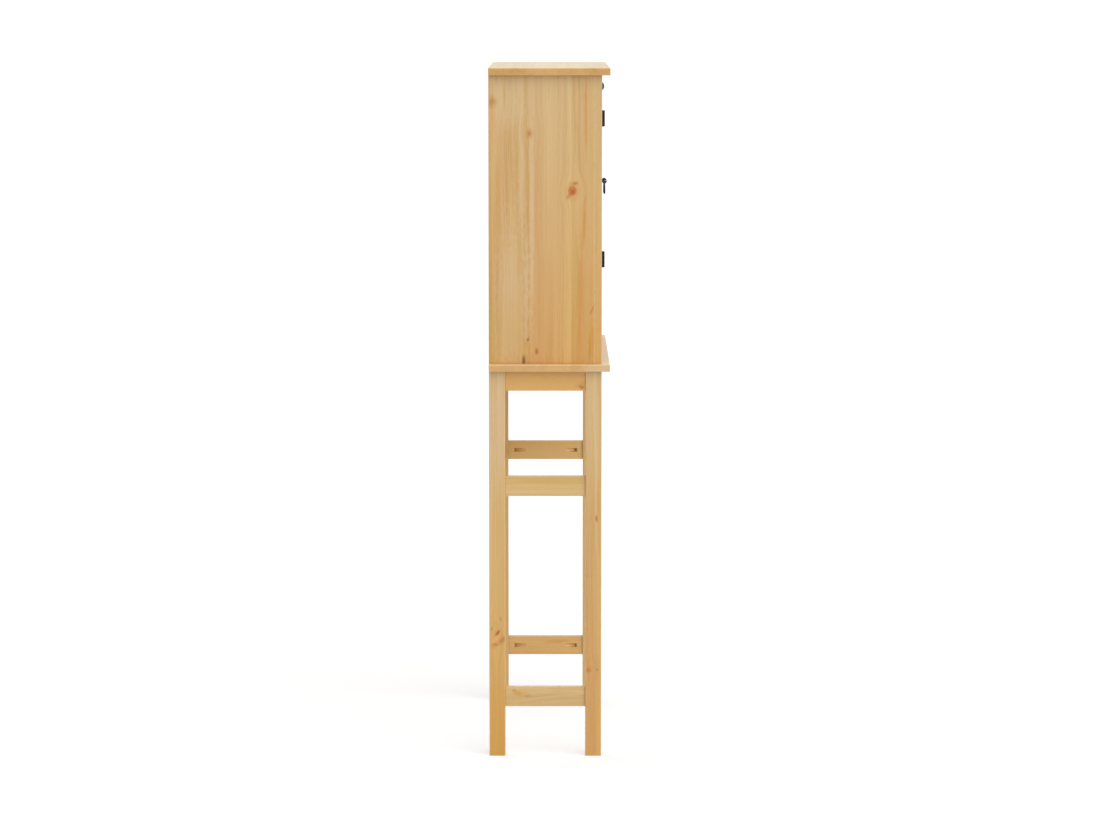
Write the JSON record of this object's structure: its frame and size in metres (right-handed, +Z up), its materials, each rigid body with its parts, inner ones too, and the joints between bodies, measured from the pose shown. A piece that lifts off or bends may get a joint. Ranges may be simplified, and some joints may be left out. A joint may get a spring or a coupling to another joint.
{
  "type": "washing machine cabinet",
  "caption": "Tall pine cabinet that stands over a washing machine: an open leg frame carries a niche and a cupboard with hinged panel doors, iron butterfly hinges and drop pulls.",
  "frame": {"origin": "on the floor under the middle of the cabinet's box", "axes": "+Z up, front faces -Y, X across the width"},
  "size_m": [0.76, 0.3, 1.72],
  "materials": {
    "pine": "waxed pine",
    "plywood": "thin plywood",
    "beech": "plain beech dowel",
    "black_iron": "black forged iron",
    "zinc_steel": "zinc plated",
    "catch_plastic": "brown"
  },
  "bodies": {
    "cabinet": {"back_mid_rail": "pine", "back_panel": "plywood", "back_panel_nails": "zinc_steel", "back_top_rail": "pine", "base_screws": "zinc_steel", "board_dowels": "beech", "cam_bolts": "zinc_steel", "cam_discs": "zinc_steel", "catch_magnets": "zinc_steel", "face_frame_dowels": "beech", "frieze_rail": "pine", "frieze_studs": "black_iron", "front_stile_left": "pine", "front_stile_right": "pine", "front_top_rail": "pine", "hinge_frame_leaves": "black_iron", "hinge_pins": "black_iron", "inner_shelf": "pine", "leg_back_left": "pine", "leg_back_right": "pine", "leg_front_left": "pine", "leg_front_right": "pine", "magnetic_catches": "catch_plastic", "mid_board": "pine", "niche_shelf": "pine", "rail_screws": "black_iron", "shelf_pins": "zinc_steel", "side_panel_left": "pine", "side_panel_right": "pine", "side_rail_low_left": "pine", "side_rail_low_right": "pine", "side_rail_mid_left": "pine", "side_rail_mid_right": "pine", "side_rail_top_left": "pine", "side_rail_top_right": "pine", "small_screws": "black_iron", "top_board": "pine"},
    "left_door": {"left_bottom_rail": "pine", "left_door_screws": "black_iron", "left_hinge_leaves": "black_iron", "left_hinge_stile": "pine", "left_lock_stile": "pine", "left_panel": "pine", "left_pull_mount": "black_iron", "left_pull_nut": "zinc_steel", "left_strike_plate": "zinc_steel", "left_top_rail": "pine"},
    "right_door": {"right_bottom_rail": "pine", "right_door_screws": "black_iron", "right_hinge_leaves": "black_iron", "right_hinge_stile": "pine", "right_lock_stile": "pine", "right_panel": "pine", "right_pull_mount": "black_iron", "right_pull_nut": "zinc_steel", "right_strike_plate": "zinc_steel", "right_top_rail": "pine"},
    "left_pull": {"left_pull_drop": "black_iron"},
    "right_pull": {"right_pull_drop": "black_iron"}
  },
  "joints": [
    {"name": "left_door_hinge", "type": "hinge", "parent": "cabinet", "child": "left_door", "pos_m": [-0.31925, -0.1338, 1.42075], "axis": [0, 0, -1], "range_deg": [0, 170]},
    {"name": "right_door_hinge", "type": "hinge", "parent": "cabinet", "child": "right_door", "pos_m": [0.31925, -0.1338, 1.42075], "axis": [0, 0, 1], "range_deg": [0, 170]},
    {"name": "left_pull_swing", "type": "hinge", "parent": "left_door", "child": "left_pull", "pos_m": [-0.0265, -0.141, 1.42265], "axis": [-1, 0, 0], "range_deg": [-12, 170]},
    {"name": "right_pull_swing", "type": "hinge", "parent": "right_door", "child": "right_pull", "pos_m": [0.0265, -0.141, 1.42265], "axis": [-1, 0, 0], "range_deg": [-12, 170]}
  ]
}
